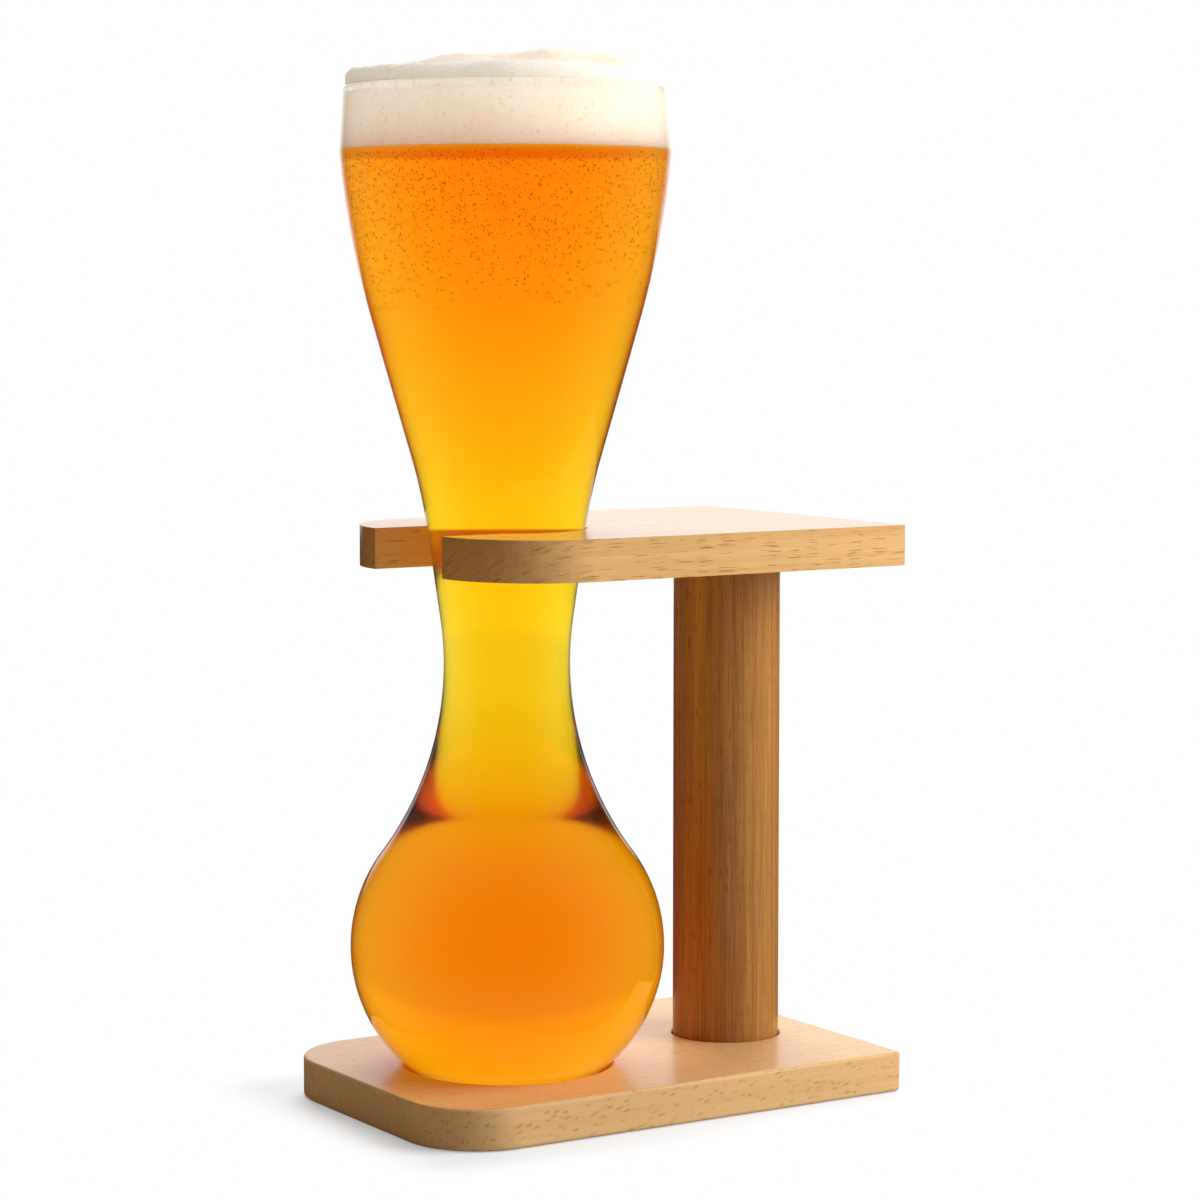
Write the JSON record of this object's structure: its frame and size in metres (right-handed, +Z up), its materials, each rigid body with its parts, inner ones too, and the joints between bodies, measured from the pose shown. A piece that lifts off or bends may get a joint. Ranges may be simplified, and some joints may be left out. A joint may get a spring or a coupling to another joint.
{
  "type": "yard glass on stand",
  "caption": "Tall round-bottomed beer glass with a bulb, narrow neck and flared bowl, held upright by a wooden stand with a keyhole arm and a post to grip.",
  "frame": {"origin": "centre of the base board's underside, on the table", "axes": "+X from the rounded, glass end to the square, post end; +Y across the boards; +Z up"},
  "size_m": [0.135, 0.09, 0.2578],
  "materials": {
    "clear_glass": "clear, smooth, fire-polished rim",
    "beech_board": "pale beech, sanded, with short darker flecks",
    "beech_post": "darker reddish beech, turned, with upright flecks",
    "screw_steel": "zinc-plated steel"
  },
  "bodies": {
    "stand": {"base_board": "beech_board", "post": "beech_post", "arm_board": "beech_board", "post_screw": "screw_steel"},
    "glass": {"glass": "clear_glass"}
  },
  "joints": [
    {"name": "glass_lift", "type": "slide", "parent": "stand", "child": "glass", "axis": [0, 0, 1], "range_m": [0, 0.048]}
  ]
}
